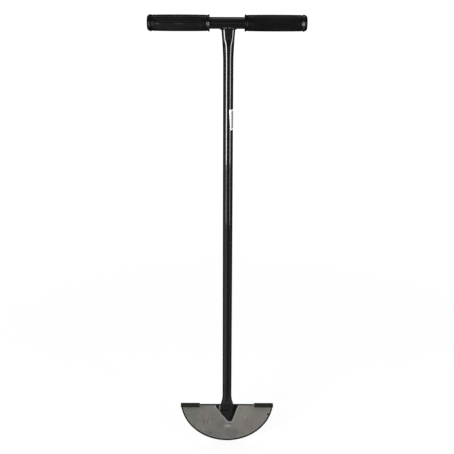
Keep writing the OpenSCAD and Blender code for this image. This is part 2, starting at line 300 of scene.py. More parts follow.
# %% Floor paper
def floor_pools(bench, x, y, away):
    """Light on the mirrored floor, from the place, the distance and the direction seen from the foot."""
    sideways, backwards = x * away ** -1, y * away ** -1
    left = bench.fall(x, *LEFT_REACH) * bench.fall(sideways, *LEFT_WAY) * POOL_LEFT
    right = bench.rise(sideways, *RIGHT_WAY) * POOL_RIGHT
    near = bench.fall(away, *FRONT_REACH) * POOL_FRONT + bench.fall(away, *FOOT_REACH) * POOL_FOOT
    far = bench.rise(away, *HORIZON_REACH) * front_horizon(bench, sideways)
    behind = bench.rise(backwards, *BACK_WAY) * bench.rise(away, *BACK_REACH) * BACK_GLOW
    return (left + right + near + far) * bench.fall(backwards, *FRONT_WAY) + behind


floor_paper, sweep = new_finish("floor_paper")
sweep.tree.nodes.remove(sweep.tree.nodes["Principled BSDF"])
seen, mirrored = ray_kinds(sweep)
x, y, _ = sweep.axes()
away = (x * x + y * y + ABOVE_NOUGHT) ** 0.5
shown = FLOOR_NEAR + sweep.rise(away, *FLOOR_REACH) * (FLOOR_FAR - FLOOR_NEAR)
strength = seen * shown + mirrored * floor_pools(sweep, x, y, away)
glow = sweep.node("ShaderNodeEmission", sockets={"Strength": strength})
paper_colour = sweep.tint(seen, FLOOR_PAPER, FLOOR_PAPER_SEEN)
paper = sweep.node("ShaderNodeBsdfDiffuse", sockets={"Color": paper_colour})
both = sweep.node("ShaderNodeAddShader", sockets={0: glow, 1: paper})
sweep.fill(sweep.tree.nodes["Material Output"].inputs["Surface"], both)
floor_mesh.materials.append(floor_paper)
print("paper nodes:", len(sweep.tree.nodes))

# %% World
ROOM_LIGHT, ROOM_DARK = 0.9, 0.02
ROOM_TOP, TOP_RISE = 0.1, (0.75, 0.95)
HORIZON_RISE, BACK_RISE = (0.1, 0.3), (0.0, 0.1)

world = bpy.data.worlds.new("white_room")
world.use_nodes = True
scene.world = world
room = Bench(world.node_tree)
seen, mirrored = ray_kinds(room)
sideways, backwards, upwards = room.parts(room.node("ShaderNodeTexCoord", output="Generated"))
horizon = room.fall(upwards, *HORIZON_RISE) * front_horizon(room, sideways)
horizon = horizon * room.fall(backwards, *FRONT_WAY)
behind = room.fall(upwards, *BACK_RISE) * room.rise(backwards, *BACK_WAY) * BACK_GLOW
walls = ROOM_DARK + horizon + behind + room.rise(upwards, *TOP_RISE) * ROOM_TOP
level = seen + mirrored * walls + (1 - seen.either(mirrored)) * ROOM_LIGHT
room.fill(world.node_tree.nodes["Background"].inputs["Strength"], level)
room.fill(world.node_tree.nodes["Background"].inputs["Color"], grey(1.0))
print("room nodes:", len(room.tree.nodes))

# %% [markdown]
# ## Two strip lamps and a top light
# Gloss paint on a round tube works like a mirror that shows one thin picture of each lamp. The
# photograph has two such lines on the shaft, a strong one left of the middle and a weaker one to the
# right, and both fade halfway down. A wide softbox would smear them over the tube. Each line's place on
# the tube gives the turn of a narrow lamp, and the fade gives the height where it dims to a skirt.

# %% Lamps
STRIP_DISTANCE, STRIP_WIDTH = 1.3, 0.26
STRIP_TOP, STRIP_LOW, SKIRT_LOW = 1.35, 0.28, 0.04
LEFT_TURN, LEFT_STRIP, LEFT_SKIRT = math.radians(-38), 16.8, 3.0
RIGHT_TURN, RIGHT_STRIP, RIGHT_SKIRT = math.radians(48), 9.0, 2.6
TOP_WIDTH, TOP_DEPTH, TOP_PLACE, TOP_LIGHT = 1.6, 0.4, (0, 0.42, 2.1), 0.9


def lamp(name, width, height, radiance, place, turned=(0, 0, 0)):
    """A flat lamp that the camera can't see. Its power is its brightness times pi times its area."""
    light = bpy.data.lights.new(name, "AREA")
    light.shape = "RECTANGLE"
    light.size = width
    light.size_y = height
    light.energy = radiance * math.pi * width * height
    stand = bpy.data.objects.new(name, light)
    stand.location = place
    stand.rotation_euler = turned
    stand.visible_camera = False
    scene.collection.objects.link(stand)


def strip_lamp(name, turn, low, high, radiance):
    """Stands a tall lamp at a turn from the camera's side, facing the shaft."""
    place = (STRIP_DISTANCE * math.sin(turn), -STRIP_DISTANCE * math.cos(turn), (low + high) / 2)
    lamp(name, STRIP_WIDTH, high - low, radiance, place, (math.pi / 2, 0, turn))


strip_lamp("left_strip", LEFT_TURN, STRIP_LOW, STRIP_TOP, LEFT_STRIP)
strip_lamp("left_skirt", LEFT_TURN, SKIRT_LOW, STRIP_LOW, LEFT_SKIRT)
strip_lamp("right_strip", RIGHT_TURN, STRIP_LOW, STRIP_TOP, RIGHT_STRIP)
strip_lamp("right_skirt", RIGHT_TURN, SKIRT_LOW, STRIP_LOW, RIGHT_SKIRT)
lamp("top_light", TOP_WIDTH, TOP_DEPTH, TOP_LIGHT, TOP_PLACE)

# %% [markdown]
# ## From a grid of points to a mesh
# Every new piece is a stack of closed rings of points. One helper joins neighbouring rings with quads,
# closes the ends with a fan, turns the faces outwards, and lets the piece ride with the tool in place
# of its solid. Edges sharper than a chosen angle stay crisp, and all others shade smoothly.


# %% Rings to faces
def ring_faces(rings, loop):
    """Quads between neighbouring rings. A loop joins its last ring to its first, and other stacks close
    both ends with a fan round the ring's middle."""
    rows, columns, _ = rings.shape
    index = np.arange(rows * columns).reshape(rows, columns)
    beside = np.roll(index, -1, axis=1)
    above, above_beside = np.roll(index, -1, axis=0), np.roll(beside, -1, axis=0)
    quads = np.stack([index, beside, above_beside, above], axis=-1)
    points = rings.reshape(-1, 3)
    if loop:
        return points, quads.reshape(-1, 4).tolist()
    faces = quads[:-1].reshape(-1, 4).tolist()
    poles = np.full((2, columns), [[rows * columns], [rows * columns + 1]])
    faces += np.stack([beside[0], index[0], poles[0]], axis=-1).tolist()
    faces += np.stack([index[-1], beside[-1], poles[1]], axis=-1).tolist()
    return np.vstack([points, rings[[0, -1]].mean(axis=1)]), faces


def signed_volume(mesh):
    """Volume inside a closed mesh, below nought where its faces point inwards."""
    shell = bmesh.new()
    shell.from_mesh(mesh)
    volume = shell.calc_volume(signed=True)
    shell.free()
    return volume


trial_rings = np.zeros((3, 8, 3))
print("3 rings of 8 points, closed at both ends:", len(ring_faces(trial_rings, loop=False)[1]), "faces")

# %% Faces to piece
SHARP_EDGE = math.radians(40)
CM3 = 1e-6


def skin(name, rings, solid, loop=False):
    """Closed mesh over an array of rings (rows, columns, 3) that stands for a solid of the frame."""
    points, faces = ring_faces(rings, loop)
    mesh = bpy.data.meshes.new(name)
    mesh.from_pydata(points.tolist(), [], faces)
    volume = signed_volume(mesh)
    if volume < 0:
        mesh.flip_normals()
    mesh.shade_smooth()
    mesh.set_sharp_from_angle(angle=SHARP_EDGE)
    piece = bpy.data.objects.new(name, mesh)
    scene.collection.objects.link(piece)
    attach(piece, "root")
    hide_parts(solid)
    print(name, len(faces), "faces,", round(abs(volume) / CM3, 2), "cm3")
    return piece


print("edges stay sharp past", round(math.degrees(SHARP_EDGE)), "degrees")


# %% Steps, stretches and grids
def eased(value, start, end):
    """Nought before start, one after end, and a cubic step in between; start may lie above end."""
    part = np.clip((value - start) / (end - start), 0, 1)
    return part * part * (3 - 2 * part)


def stretches(stops, counts):
    """Places from the first stop to the last, with a count of even steps in each stretch between stops."""
    spans = zip(stops, stops[1:], counts)
    parts = [np.linspace(start, end, count, endpoint=False) for start, end, count in spans]
    return np.concatenate([*parts, stops[-1:]])


def turns(columns):
    """Angles of the points round a ring."""
    return np.arange(columns) * 2 * np.pi / columns


def grid(x, y, z):
    """Points from three coordinates, each an array or a number that is the same for all points."""
    return np.stack(np.broadcast_arrays(x, y, z), axis=-1)


print("a quarter of the way eased:", eased(np.array([0.25]), 0, 1))

# %% [markdown]
# ## The shaft
# The shaft is one steel tube: round for most of its length, squeezed oval under the handle, and pressed
# flat at the foot, where it was sheared to a lopsided point. It could be a curve with a changing bevel.
# A function of height and angle is exact instead: each height has a half width, a half depth and a flat
# between two half ovals.

# %% Sizes of the shaft
cross_low, cross_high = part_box("cross_tube")
shaft_low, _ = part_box("shaft")
HANDLE_HEIGHT = (cross_low.z + cross_high.z) / 2
HANDLE_MIDDLE = (cross_low.x + cross_high.x) / 2
CROSS_RADIUS = (cross_high.z - cross_low.z) / 2
SHAFT_RADIUS = -shaft_low.y
WALL = 1.2 * MM
NECK_LENGTH, PRESS_LENGTH = 62 * MM, 26 * MM
NECK_TOP = HANDLE_HEIGHT - CROSS_RADIUS
NECK_LEVEL = NECK_TOP - NECK_LENGTH
NECK_HALF_WIDTH, NECK_HALF_DEPTH = 13.5 * MM, 6.2 * MM
NECK_SQUEEZE, NECK_FLAT = (0.42, 0.75), 0.6
WIDENING_POWER, SADDLE_POWER = 1.6, 3
FLAT_LEVEL = 100 * MM
PRESS_LEVEL = FLAT_LEVEL + PRESS_LENGTH
FLAT_HALF_WIDTH = 15 * MM
TIP_LEVEL = shaft_low.z
TIP_LEFT, TIP_RIGHT = 4.05 * MM, 7.55 * MM
LEFT_SHOULDER, RIGHT_SHOULDER = 81 * MM, 78 * MM
PRESS_MARK_LEVEL, PRESS_MARK_DEPTH, PRESS_MARK_HALF = 85 * MM, 0.3 * MM, 0.5 * MM
SHEARED_EDGE = 0.3 * MM
PANEL_CROWN = math.radians(8)
SHAFT_COLUMNS = 192
SHAFT_STEPS = (120, 60, 40, 79)
print("shaft from", round(TIP_LEVEL, 4), "to", round(NECK_TOP, 4))


# %% Shaft surface
def saddle(y):
    """Height of the cross tube's underside at a depth: the tube's axis less a circle's half chord."""
    return HANDLE_HEIGHT - np.sqrt(CROSS_RADIUS ** 2 - y ** 2)


def shaft_surface(level, angle):
    """Sections stacked up the shaft: x is a flat plus an oval's cosine, y an oval's sine. The neck widens
    by a power of the way up and flattens by a smooth step, the foot spreads by the square of the way down,
    and the point's two edges are straight lines from the shoulders to the tip."""
    neck_way = np.clip((level - NECK_LEVEL) / (NECK_TOP - NECK_LEVEL), 0, 1)
    squeeze = eased(neck_way, *NECK_SQUEEZE)
    pressed = np.clip((PRESS_LEVEL - level) / (PRESS_LEVEL - FLAT_LEVEL), 0, 1) ** 2
    half_width = (SHAFT_RADIUS + (NECK_HALF_WIDTH - SHAFT_RADIUS) * neck_way ** WIDENING_POWER
                  + (FLAT_HALF_WIDTH - SHAFT_RADIUS) * pressed)
    half_depth = (SHAFT_RADIUS + (NECK_HALF_DEPTH - SHAFT_RADIUS) * squeeze
                  + (WALL - SHAFT_RADIUS) * pressed)
    left_edge = np.interp(level, [TIP_LEVEL, LEFT_SHOULDER], [TIP_LEFT, -FLAT_HALF_WIDTH])
    right_edge = np.interp(level, [TIP_LEVEL, RIGHT_SHOULDER], [TIP_RIGHT, FLAT_HALF_WIDTH])
    left, right = np.maximum(-half_width, left_edge), np.minimum(half_width, right_edge)
    half_span = (right - left) / 2
    rounding = np.where(level > RIGHT_SHOULDER, half_depth, SHEARED_EDGE)
    neck_flat = NECK_FLAT * squeeze * (half_width - half_depth)
    flat = np.where(level > PRESS_LEVEL, neck_flat, half_span - rounding)
    ramp = np.clip(np.cos(angle) / math.sin(PANEL_CROWN), -1, 1)
    x = (left + right) / 2 + flat * ramp + (half_span - flat) * np.cos(angle)
    set_back = PRESS_MARK_DEPTH * eased(level, PRESS_MARK_LEVEL + PRESS_MARK_HALF,
                                        PRESS_MARK_LEVEL - PRESS_MARK_HALF)
    y = np.where(np.sin(angle) < 0, half_depth - set_back, half_depth) * np.sin(angle)
    z = level + neck_way ** SADDLE_POWER * (saddle(y) - NECK_TOP)
    return grid(x, y, z)


shaft_levels = stretches([TIP_LEVEL, FLAT_LEVEL, PRESS_LEVEL, NECK_LEVEL, NECK_TOP], SHAFT_STEPS)
shaft_angles = turns(SHAFT_COLUMNS) + np.pi / SHAFT_COLUMNS
shaft_tube = skin("shaft_tube", shaft_surface(shaft_levels[:, None], shaft_angles), "shaft")

# %% [markdown]
# ## The grips
# Each grip is a soft moulded sleeve that closes over the end of the cross tube: a raised ring at both
# ends, a slightly barrelled body and long flutes for the fingers. A lathe gives the barrel but not the
# flutes. Here the radius is a function of the distance along the grip and the angle round it, and the
# flutes are a smooth minimum.

# %% Sizes of the grips
grip_low, grip_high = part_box("right_grip")
GRIP_INNER = grip_low.x - HANDLE_MIDDLE
GRIP_LENGTH = grip_high.x - grip_low.x
RING_RADIUS = (grip_high.z - grip_low.z) / 2
GRIP_NECK, GRIP_MIDDLE = 15 * MM, 15.5 * MM
RING_WIDTH = 3 * MM
END_ROUND = 5 * MM
OUTER_RING = GRIP_LENGTH - END_ROUND - RING_WIDTH
GROOVE_DEPTH, GROOVE_WIDTH, GROOVE_GAP = 0.5 * MM, 0.8 * MM, 1.7 * MM
FLUTE_COUNT, FLUTE_DEPTH, FLUTE_RADIUS, FLUTE_MARGIN = 14, 0.9 * MM, 2.4 * MM, 16 * MM
FLUTE_SOFTNESS = 0.3 * MM
FLUTE_COLUMNS = 18
GRIP_COLUMNS = FLUTE_COUNT * FLUTE_COLUMNS
GRIP_STEPS, FACE_ROWS, END_ROWS = (36, 96, 35), 4, 14
DISC_SHARES = np.array([0.7, 0.4, 0.1])
print("grip length:", round(GRIP_LENGTH, 4), "ring radius:", round(RING_RADIUS, 4))


# %% Barrel, rings and flutes
def sleeve_radius(along):
    """Barrel of a parabola, plus a half ellipse for each end ring, less a soft groove beside each ring."""
    way = np.clip((along - RING_WIDTH) / (OUTER_RING - RING_WIDTH), 0, 1)
    radius = GRIP_NECK + (GRIP_MIDDLE - GRIP_NECK) * (1 - (2 * way - 1) ** 2)
    for start, groove in ((0, RING_WIDTH + GROOVE_GAP), (OUTER_RING, OUTER_RING - GROOVE_GAP)):
        from_middle = (along - start) / (RING_WIDTH / 2) - 1
        radius = radius + (RING_RADIUS - GRIP_NECK) * np.sqrt(np.clip(1 - from_middle ** 2, 0, 1))
        radius = radius - GROOVE_DEPTH * np.exp(-((along - groove) / GROOVE_WIDTH) ** 2)
    return radius


def flute_floor(along, angle, turn_share):
    """Distance from the axis to the nearest flute's bottom: a circle's near side, shrunk at round ends."""
    pitch = 2 * np.pi / FLUTE_COUNT
    offset = ((angle / pitch - turn_share + 0.5) % 1 - 0.5) * pitch
    centre = GRIP_MIDDLE - FLUTE_DEPTH + FLUTE_RADIUS
    low, high = FLUTE_MARGIN + FLUTE_RADIUS, GRIP_LENGTH - FLUTE_MARGIN - FLUTE_RADIUS
    past_end = np.maximum(np.maximum(low - along, along - high), 0)
    inside = np.clip(FLUTE_RADIUS ** 2 - (centre * np.sin(offset)) ** 2 - past_end ** 2, 0, None)
    return centre * np.cos(offset) - np.sqrt(inside)


print("flutes:", FLUTE_COUNT, "of", FLUTE_DEPTH / MM, "mm")


# %% Grip surface
def grip_profile():
    """Distance along the grip and radius before the flutes: the open face, the barrel, a quarter circle and
    the closed end."""
    ring_end, ring_start = RING_WIDTH + 2 * GROOVE_GAP, OUTER_RING - 2 * GROOVE_GAP
    body = stretches([0, ring_end, ring_start, OUTER_RING + RING_WIDTH], GRIP_STEPS)
    quarter = np.linspace(0, np.pi / 2, END_ROWS)[1:]
    face = np.linspace(CROSS_RADIUS, GRIP_NECK, FACE_ROWS)[:-1]
    disc = (GRIP_NECK - END_ROUND) * DISC_SHARES
    end_along = GRIP_LENGTH - END_ROUND * (1 - np.sin(quarter))
    end_radius = GRIP_NECK - END_ROUND * (1 - np.cos(quarter))
    along = [np.zeros_like(face), body, end_along, np.full_like(disc, GRIP_LENGTH)]
    radius = [face, sleeve_radius(body), end_radius, disc]
    return np.concatenate(along)[:, None], np.concatenate(radius)[:, None]


def grip_surface(side, turn_share):
    """Rings from the grip's open face to its closed end: the lesser of barrel and flute, softly joined."""
    along, barrel = grip_profile()
    angle = turns(GRIP_COLUMNS)
    flute = flute_floor(along, angle, turn_share)
    share = np.clip(0.5 + 0.5 * (flute - barrel) / FLUTE_SOFTNESS, 0, 1)
    radius = flute * (1 - share) + barrel * share - FLUTE_SOFTNESS * share * (1 - share)
    x = HANDLE_MIDDLE + side * (GRIP_INNER + along)
    return grid(x, radius * np.sin(angle), HANDLE_HEIGHT - radius * np.cos(angle))


left_sleeve = skin("left_grip_sleeve", grip_surface(side=-1, turn_share=0.0), "left_grip")
right_sleeve = skin("right_grip_sleeve", grip_surface(side=1, turn_share=0.5), "right_grip")

# %% [markdown]
# ## The welds
# A weld bead is a row of frozen puddles, each lapping the last, so its surface steps in ripples. It
# could be a bump texture on a plain tube, but then its outline would stay smooth. Here a round section
# is carried along the joint and its size rises slowly and drops fast once in every ripple, with an
# uneven hand.

# %% Ripples along a bead
RIPPLE_LENGTH = 4 * MM
RIPPLE_DEPTH, RIPPLE_LEAN = 0.16, 0.7
HAND_WAVES = ((2, 0.3, 0.7), (5, 0.22, 2.0))
SIZE_WAVES = ((3, 0.06, 1.1), (7, 0.04, 0.4))
BEAD_COLUMNS = 28


def waves(way, table):
    """Sum of sines, each with its number of turns along the way, its height and its starting angle."""
    return sum(height * np.sin(2 * np.pi * count * way + start) for count, height, start in table)


def bead_size(way, ripples):
    """Share of full size along a bead: a lapped saw tooth with uneven steps, times two slow waves."""
    lap = (way * ripples + waves(way, HAND_WAVES)) % 1
    puddle = 1 - RIPPLE_DEPTH * (1 - np.sin(np.pi * lap ** RIPPLE_LEAN))
    return puddle * (1 + waves(way, SIZE_WAVES))


def bead(centre, first, second, size):
    """Circles of a changing size about a path, in the plane of two directions square to it."""
    angle = turns(BEAD_COLUMNS)[None, :, None]
    across = np.cos(angle) * first[:, None, :] + np.sin(angle) * second[:, None, :]
    return centre[:, None, :] + size[:, None, None] * across


def unit(vectors):
    """Vectors over their own lengths."""
    return vectors / np.linalg.norm(vectors, axis=-1, keepdims=True)


print("ripple in millimetres:", RIPPLE_LENGTH / MM)

# %% Weld round the neck
HANDLE_WELD_REACH, HANDLE_WELD_SIDE = 4.6 * MM, 1.9 * MM
HANDLE_WELD_SHIFT = 0.32
BLOB_SIZE, BLOB_PLACE, BLOB_SPREAD = 0.5, 0.5, 0.05
NECK_WELD_ROWS = 320


def neck_weld_rings():
    """A bead on the curve where the oval neck meets the cross tube, fuller at the front and back than the
    sides, with a blob on the left where the welder started."""
    way = np.arange(NECK_WELD_ROWS) / NECK_WELD_ROWS
    angle = turns(NECK_WELD_ROWS)
    y = NECK_HALF_DEPTH * np.sin(angle)
    joint = grid(NECK_HALF_WIDTH * np.cos(angle), y, saddle(y))
    outward = unit(grid(np.cos(angle) / NECK_HALF_WIDTH, np.sin(angle) / NECK_HALF_DEPTH, 0))
    along = unit(np.roll(joint, -1, axis=0) - np.roll(joint, 1, axis=0))
    reach = HANDLE_WELD_SIDE + (HANDLE_WELD_REACH - HANDLE_WELD_SIDE) * np.sin(angle) ** 2
    centre = joint + HANDLE_WELD_SHIFT * reach[:, None] * (outward + np.array([0, 0, 1.0]))
    ripples = round(math.pi * (NECK_HALF_WIDTH + NECK_HALF_DEPTH) / RIPPLE_LENGTH)
    blob = 1 + BLOB_SIZE * np.exp(-((way - BLOB_PLACE) / BLOB_SPREAD) ** 2)
    return bead(centre, outward, np.cross(along, outward), reach * blob * bead_size(way, ripples))


neck_weld = skin("handle_weld_bead", neck_weld_rings(), "handle_weld", loop=True)

# %% Welds along the point
PLATE_FRONT = 1.2 * MM
BLADE_TOP = 99 * MM
LEFT_WELD_REACH, LEFT_FREE_SHARE, LEFT_WELD_ROWS = 1.75 * MM, 0.85, 220
RIGHT_WELD_REACH, RIGHT_FREE_SHARE, RIGHT_WELD_ROWS = 3.65 * MM, 0.15, 300
WELD_SINK = 0.4 * MM
CORNER_SAMPLES = 9
LEAST_END = 0.01


def edge_weld_rings(edge, tip, shoulder, free_share, reach, rows):
    """A bead on the corner line of one edge of the point, rounded where the line turns and at both ends."""
    start = BLADE_TOP - free_share * (BLADE_TOP - shoulder)
    corner = np.array([[edge, start], [edge, shoulder], [tip, TIP_LEVEL]])
    run = np.concatenate([[0], np.cumsum(np.linalg.norm(np.diff(corner, axis=0), axis=1))])
    distance = np.linspace(0, run[-1], rows)
    window = distance[:, None] + np.linspace(-reach, reach, CORNER_SAMPLES)
    x = np.interp(window, run, corner[:, 0]).mean(axis=1)
    z = np.interp(window, run, corner[:, 1]).mean(axis=1)
    path = grid(x, PLATE_FRONT, z)
    along = unit(np.gradient(path, axis=0))
    front = np.broadcast_to(np.array([0, -1.0, 0]), path.shape)
    end_gap = np.clip(np.minimum(distance, run[-1] - distance) / reach, 0, 1)
    rounding = np.sqrt(np.clip(1 - (1 - end_gap) ** 2, LEAST_END, 1))
    size = reach * rounding * bead_size(distance / run[-1], round(run[-1] / RIPPLE_LENGTH))
    rings = bead(path, np.cross(front, along), front, size)
    rings[..., 1] = np.minimum(rings[..., 1], PLATE_FRONT + WELD_SINK)
    return rings


left_rings = edge_weld_rings(-FLAT_HALF_WIDTH, TIP_LEFT, LEFT_SHOULDER,
                             LEFT_FREE_SHARE, LEFT_WELD_REACH, LEFT_WELD_ROWS)
right_rings = edge_weld_rings(FLAT_HALF_WIDTH, TIP_RIGHT, RIGHT_SHOULDER,
                              RIGHT_FREE_SHARE, RIGHT_WELD_REACH, RIGHT_WELD_ROWS)
left_weld = skin("left_blade_weld_bead", left_rings, "left_blade_weld")
right_weld = skin("right_blade_weld_bead", right_rings, "right_blade_weld")

# %% [markdown]
# ## The paper label
# A small paper label is stuck round the right side of the shaft, a little crooked. It could be painted
# on the shaft's material, but paper has an edge that catches light. It is a thin closed sheet wrapped
# on the tube, and its edges stand off a little where the glue has let go.

# %% Label
label_low, label_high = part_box("paper_label")
LABEL_LENGTH = label_high.z - label_low.z
LABEL_MIDDLE = (label_high.z + label_low.z) / 2
LABEL_TURN, LABEL_WIDTH, LABEL_SKEW = math.radians(18), 27 * MM, 2.4 * MM
LABEL_THICKNESS, LABEL_GLUE, LABEL_LIFT = 0.15 * MM, 0.05 * MM, 0.054 * MM
LIFT_POWER_ENDS, LIFT_POWER_SIDES = 12, 16
LABEL_ROWS, LABEL_COLUMNS = 72, 40


def label_rings():
    """A sheet on a cylinder: the turn grows along the rows and leans with height, and its rims lift by a
    power of the way out."""
    around = np.linspace(0, 1, LABEL_ROWS)[:, None]
    upwards = np.linspace(-1, 1, LABEL_COLUMNS)
    height = np.concatenate([upwards, upwards[::-1]])
    outside = np.repeat([0.0, 1.0], LABEL_COLUMNS)
    turn = LABEL_TURN + around * LABEL_WIDTH / SHAFT_RADIUS - height * LABEL_SKEW / (2 * SHAFT_RADIUS)
    rim = np.maximum(np.abs(height) ** LIFT_POWER_ENDS, np.abs(2 * around - 1) ** LIFT_POWER_SIDES)
    radius = SHAFT_RADIUS + LABEL_GLUE + LABEL_LIFT * rim + outside * LABEL_THICKNESS
    z = LABEL_MIDDLE + height * LABEL_LENGTH / 2
    return grid(radius * np.sin(turn), -radius * np.cos(turn), z)


label_sheet = skin("label_sheet", label_rings(), "paper_label")

# %% [markdown]
# ## Marks with a place
# Noise makes a surface look used, but no spot of it lies where the real tool has one. The larger marks
# are therefore written down: a place seen from the front, two radii and a strength each. Noise breaks
# up their rims, fine noise for small spots and coarse noise for broad patches.

# %% Ovals
OVAL_RIM = (0.35, 1.1)


def marks(bench, table, scale=420, wobble=1.1):
    """Largest of several soft ovals with broken rims. A row of the table is a place, x and z, and two
    radii, all in millimetres, and a strength."""
    rough = (bench.grain(scale, detail=4) - 0.5) * wobble
    ovals = []
    for x, z, half_width, half_height, strength in table:
        shift = (-x / half_width, 0, -z / half_height)
        oval = bench.placed(shift, (1 / (half_width * MM), 0, 1 / (half_height * MM)))
        reach = bench.node("ShaderNodeVectorMath", {"operation": "LENGTH"}, {0: oval}, output="Value")
        ovals.append(bench.fall(reach + rough, *OVAL_RIM) * strength)
    return functools.reduce(Wire.either, ovals)


print("ovals fade between", OVAL_RIM[0], "and", OVAL_RIM[1], "of their radii")

# %% [markdown]
# ## Black enamel
# The shaft and the cross tube have a coat of black enamel: nearly black, glossy, with the fine orange
# peel of sprayed paint, a little settled dust and dull scuffs from handling. A plain black gloss would
# look like plastic. The clear coat carries the sharp lamp lines, and the paint under it a softer glow.
# In the crease of the press mark and along the welded point's edges the paint is darkened and its gloss
# is gone, a painted shade of the crease and the welds, so the distance past the point's two straight
# edges is worked out first.

# %% Lines of the point, in millimetres
POINT_LEFT, POINT_LEFT_WAY = (-16.5, 80.0), (-0.804, -0.594)
POINT_RIGHT, POINT_RIGHT_WAY = (11.0, 54.0), (0.947, -0.321)
POINT_LOW, WEDGE_END = 53.5, -24.7


def past_point(x, z):
    """Millimetres outside the point's lines: the largest of the distances from four half planes."""
    left = (x - POINT_LEFT[0]) * POINT_LEFT_WAY[0] + (z - POINT_LEFT[1]) * POINT_LEFT_WAY[1]
    right = (x - POINT_RIGHT[0]) * POINT_RIGHT_WAY[0] + (z - POINT_RIGHT[1]) * POINT_RIGHT_WAY[1]
    return left.either(right).either(POINT_LOW - z).either(WEDGE_END - x)


print("the point ends at", POINT_LOW, "mm")

# %% Enamel
ENAMEL_DEEP, ENAMEL_THIN = (0.0018, 0.0018, 0.0019, 1), (0.0034, 0.0034, 0.0033, 1)
ENAMEL_SHADE, ENAMEL_DUST = (0.0012, 0.0012, 0.0011, 1), (0.05, 0.048, 0.045, 1)
PRESS_SHADE_REACH, PRESS_SHADE_END = (0.9, 1.7), (3, 6)
WELD_SHADE_REACH, WELD_SHADE_TOP = (-3.8, -2.6), (80, 84)


def enamel_shade(bench):
    """Mask of painted shade in the press mark across the flat and along the point's rim by the welds."""
    x, _, z = bench.millimetres()
    mark = bench.fall(abs(z - PRESS_MARK_LEVEL / MM), *PRESS_SHADE_REACH) * bench.fall(x, *PRESS_SHADE_END)
    burnt = bench.rise(past_point(x, z), *WELD_SHADE_REACH) * bench.fall(z, *WELD_SHADE_TOP)
    return mark.either(burnt)


def enamel(name):
    """Black paint whose gloss, dust and orange peel all vary, dull and darkened as painted shade in the
    press mark and at the welds.
    """
    material, bench = new_finish(name)
    dull = enamel_shade(bench)
    mottle = bench.grain(scale=70, detail=4)
    dust = bench.spots(limits=(0.63, 0.78), scale=900, detail=2)
    scuff = bench.spots(limits=(0.56, 0.74), scale=38, detail=6, stretch=(1, 1, 0.35), shift=(3, 1, 7))
    fine_peel = bench.grain(scale=650, detail=2)
    long_peel = bench.grain(scale=90, detail=2, stretch=(1, 1, 0.4))
    colour = bench.tint(mottle, ENAMEL_DEEP, ENAMEL_THIN)
    colour = bench.tint(dust * 0.1 + scuff * 0.04, colour, ENAMEL_DUST)
    bench.dress({
        # Painted shade: darker in the press mark's crease and along the point beside the welds.
        "Base Color": bench.tint(dull, colour, ENAMEL_SHADE),
        "Roughness": 0.36 + mottle * 0.1 + scuff * 0.12,
        "Specular IOR Level": 0.06,
        "Coat Weight": (1 - scuff * 0.3) * (1 - dull * 0.95),
        "Coat IOR": 1.8,
        "Coat Roughness": 0.06,
        "Normal": bench.bump(strength=0.08, distance=0.03 * MM, height=fine_peel * 0.5 + long_peel * 0.5),
    })
    return material


shaft_tube.data.materials.append(enamel("shaft_enamel"))
frame["nodes"]["cross_tube"].material_slots[0].material = enamel("cross_tube_enamel")
print("enamel on", shaft_tube.name, "and cross_tube")

# %% [markdown]
# ## Painted weld metal
# The welds were painted over with the rest, but thinly, so burnt brown shows at the ripples' crests and
# soot and scale make them duller than the tubes. The enamel could serve here too, but its gloss would
# hide the ripples. Noise at two sizes gives the pits and the colour, and each weld has its own share of
# gloss.

# %% Weld paint
SOOT, BURNT_BROWN = (0.0014, 0.0013, 0.0012, 1), (0.005, 0.004, 0.0032, 1)
WELD_GLOSS = ((neck_weld, 0.6), (left_weld, 0.08), (right_weld, 0.12))


def weld_paint(name, gloss):
    """Rough black paint over burnt metal, with a given share of clear gloss."""
    material, bench = new_finish(name)
    burnt = bench.spots(limits=(0.42, 0.7), scale=320, detail=5)
    pits = bench.grain(scale=1500, detail=3)
    bench.dress({
        "Base Color": bench.tint(burnt, SOOT, BURNT_BROWN),
        "Roughness": 0.3 + burnt * 0.2 + pits * 0.1,
        "Specular IOR Level": 0.06,
        "Coat Weight": (1 - burnt * 0.3) * gloss,
        "Coat IOR": 1.7,
        "Coat Roughness": 0.12,
        "Normal": bench.bump(strength=0.6, distance=0.25 * MM, height=pits + burnt),
    })
    return material


for weld, gloss in WELD_GLOSS:
    weld.data.materials.append(weld_paint(weld.name.replace("bead", "paint"), gloss))
print("painted welds:", [weld.name for weld, _ in WELD_GLOSS])

# %% [markdown]
# ## Grip rubber
# The grips are black moulded rubber with a slight shine. Up close the mould leaves a fine grain, hands
# polish it in patches and flecks of lint cling to it, and three light streaks lie along the front of the
# left grip. One even black would hide all of that, so colour, roughness and shine drift along the grip.
# Of the four end rings, one on each grip is rubbed smooth and catches a lamp. A band at a distance from
# the handle's middle gives it.

# %% Rubber
RUBBER_DARK, RUBBER_WORN = (0.0016, 0.0016, 0.0016, 1), (0.0034, 0.0033, 0.0032, 1)
RUBBER_PALE = (0.05, 0.049, 0.047, 1)
LIGHT_STREAKS = ((-133.0, 947.5, 5.0, 1.8, 1.0), (-92.0, 947.4, 11.0, 1.4, 0.8), (-108.0, 938.5, 12.0, 1.4, 0.6))
STREAK_DEPTH = (0, 4 * MM)
MATT_END = GRIP_INNER + OUTER_RING + RING_WIDTH
MATT_REACH, SHINY_REACH = (5 * MM, 8 * MM), (0.6 * MM, 1.3 * MM)
INNER_MIDDLE = GRIP_INNER + RING_WIDTH / 2
OUTER_MIDDLE = GRIP_INNER + OUTER_RING + RING_WIDTH / 2
LEFT_SHINE, RIGHT_SHINE = 0.25, 0.8


